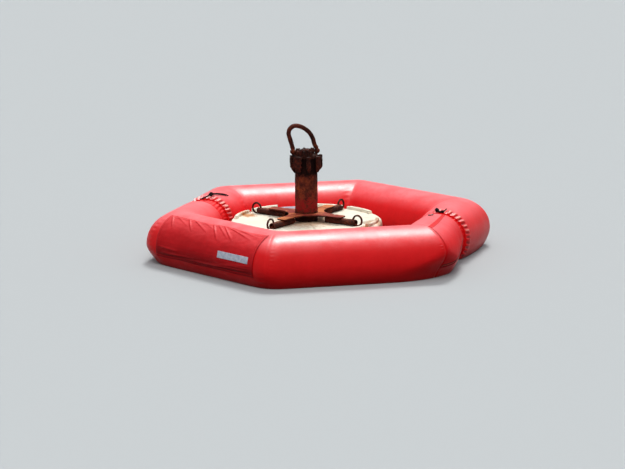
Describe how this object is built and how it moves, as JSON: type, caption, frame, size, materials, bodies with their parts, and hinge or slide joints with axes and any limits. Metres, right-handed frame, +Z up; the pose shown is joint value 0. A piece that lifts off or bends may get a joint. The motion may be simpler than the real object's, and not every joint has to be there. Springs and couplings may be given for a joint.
{
  "type": "turning mark buoy",
  "caption": "Mooring buoy with a segmented float, steel post and swinging lifting bail, afloat inside a laced six-sided inflatable ring.",
  "frame": {"origin": "the mooring buoy's axis at the waterline", "axes": "+Z up, +X along the ring's front side and its longest corner-to-corner line, -Y towards the banner's front corner and the viewer"},
  "size_m": [3.4628, 3.0008, 1.999],
  "materials": {
    "ring_pvc": "satin",
    "banner_cloth": "satin",
    "label_film": "satin",
    "float_plastic": "matte",
    "rusty_steel": "matte",
    "tie_rope": "matte"
  },
  "bodies": {
    "mooring_buoy": {"float_quarters": "float_plastic", "deck_cross": "rusty_steel", "keel_cross": "rusty_steel", "arm_pipes": "rusty_steel", "mooring_eyes": "rusty_steel", "post": "rusty_steel", "head_ribs": "rusty_steel", "head_cap": "rusty_steel", "bail_pin": "rusty_steel", "keel_flange": "rusty_steel", "chain_lug": "rusty_steel"},
    "lifting_bail": {"bail": "rusty_steel"},
    "inflatable_ring": {"near_section": "ring_pvc", "far_section": "ring_pvc", "neck_bands": "ring_pvc", "gathered_collars": "ring_pvc", "banner_wrap": "banner_cloth", "cover_panel": "banner_cloth", "blank_label": "label_film", "inflation_valve": "ring_pvc", "tie_knots": "tie_rope", "right_tie": "tie_rope", "left_tie": "tie_rope", "left_tail": "tie_rope"}
  },
  "joints": [
    {"name": "bail_swing", "type": "hinge", "parent": "mooring_buoy", "child": "lifting_bail", "pos_m": [0, 0, 1.003], "axis": [1, 0, 0], "range_deg": [-85, 85]},
    {"name": "ring_lift_off", "type": "slide", "parent": "mooring_buoy", "child": "inflatable_ring", "axis": [0, 0, 1], "range_m": [0, 1.45]}
  ]
}
